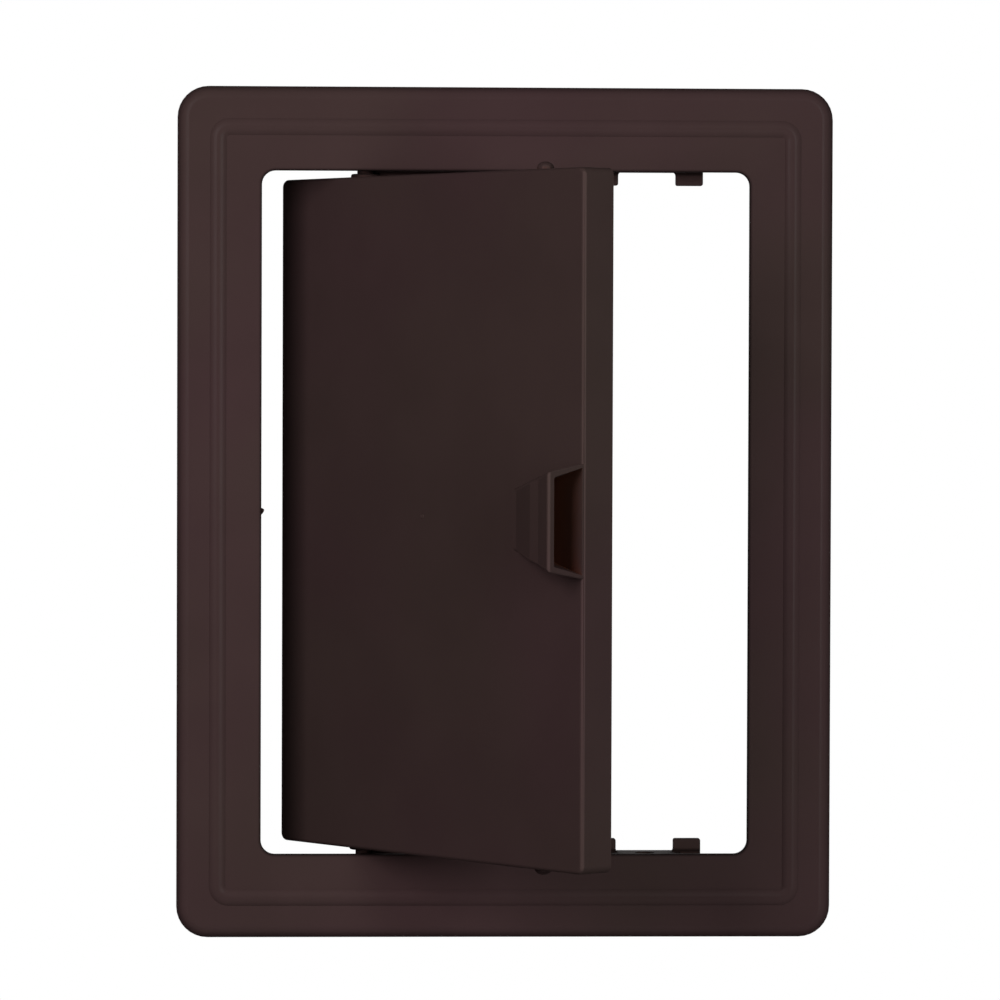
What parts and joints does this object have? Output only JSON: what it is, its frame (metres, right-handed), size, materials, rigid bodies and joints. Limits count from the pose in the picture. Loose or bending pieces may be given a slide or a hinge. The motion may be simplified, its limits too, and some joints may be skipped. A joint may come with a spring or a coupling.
{
  "type": "access panel",
  "caption": "Access panel for a wall or ceiling: a beaded frame with a rear collar and a hinged tray door that snaps shut, with a moulded hood handle.",
  "frame": {"origin": "middle of the opening, on the plane of the wall or ceiling surface that the frame's rim is pressed against", "axes": "+Y into the wall or ceiling, -Y towards the person using the door, +Z along the long side and the hinge, +X from the hinge side to the handle side"},
  "size_m": [0.168, 0.1094, 0.218],
  "materials": {
    "frame_plastic": "satin, dark brown, moulded",
    "door_plastic": "satin, dark brown, moulded"
  },
  "bodies": {
    "frame": {"frame": "frame_plastic"},
    "door": {"door": "door_plastic"}
  },
  "joints": [
    {"name": "door_hinge", "type": "hinge", "parent": "frame", "child": "door", "pos_m": [-0.036, 0.0042, 0], "axis": [0, 0, -1], "range_deg": [-53.3, 41.7]}
  ]
}
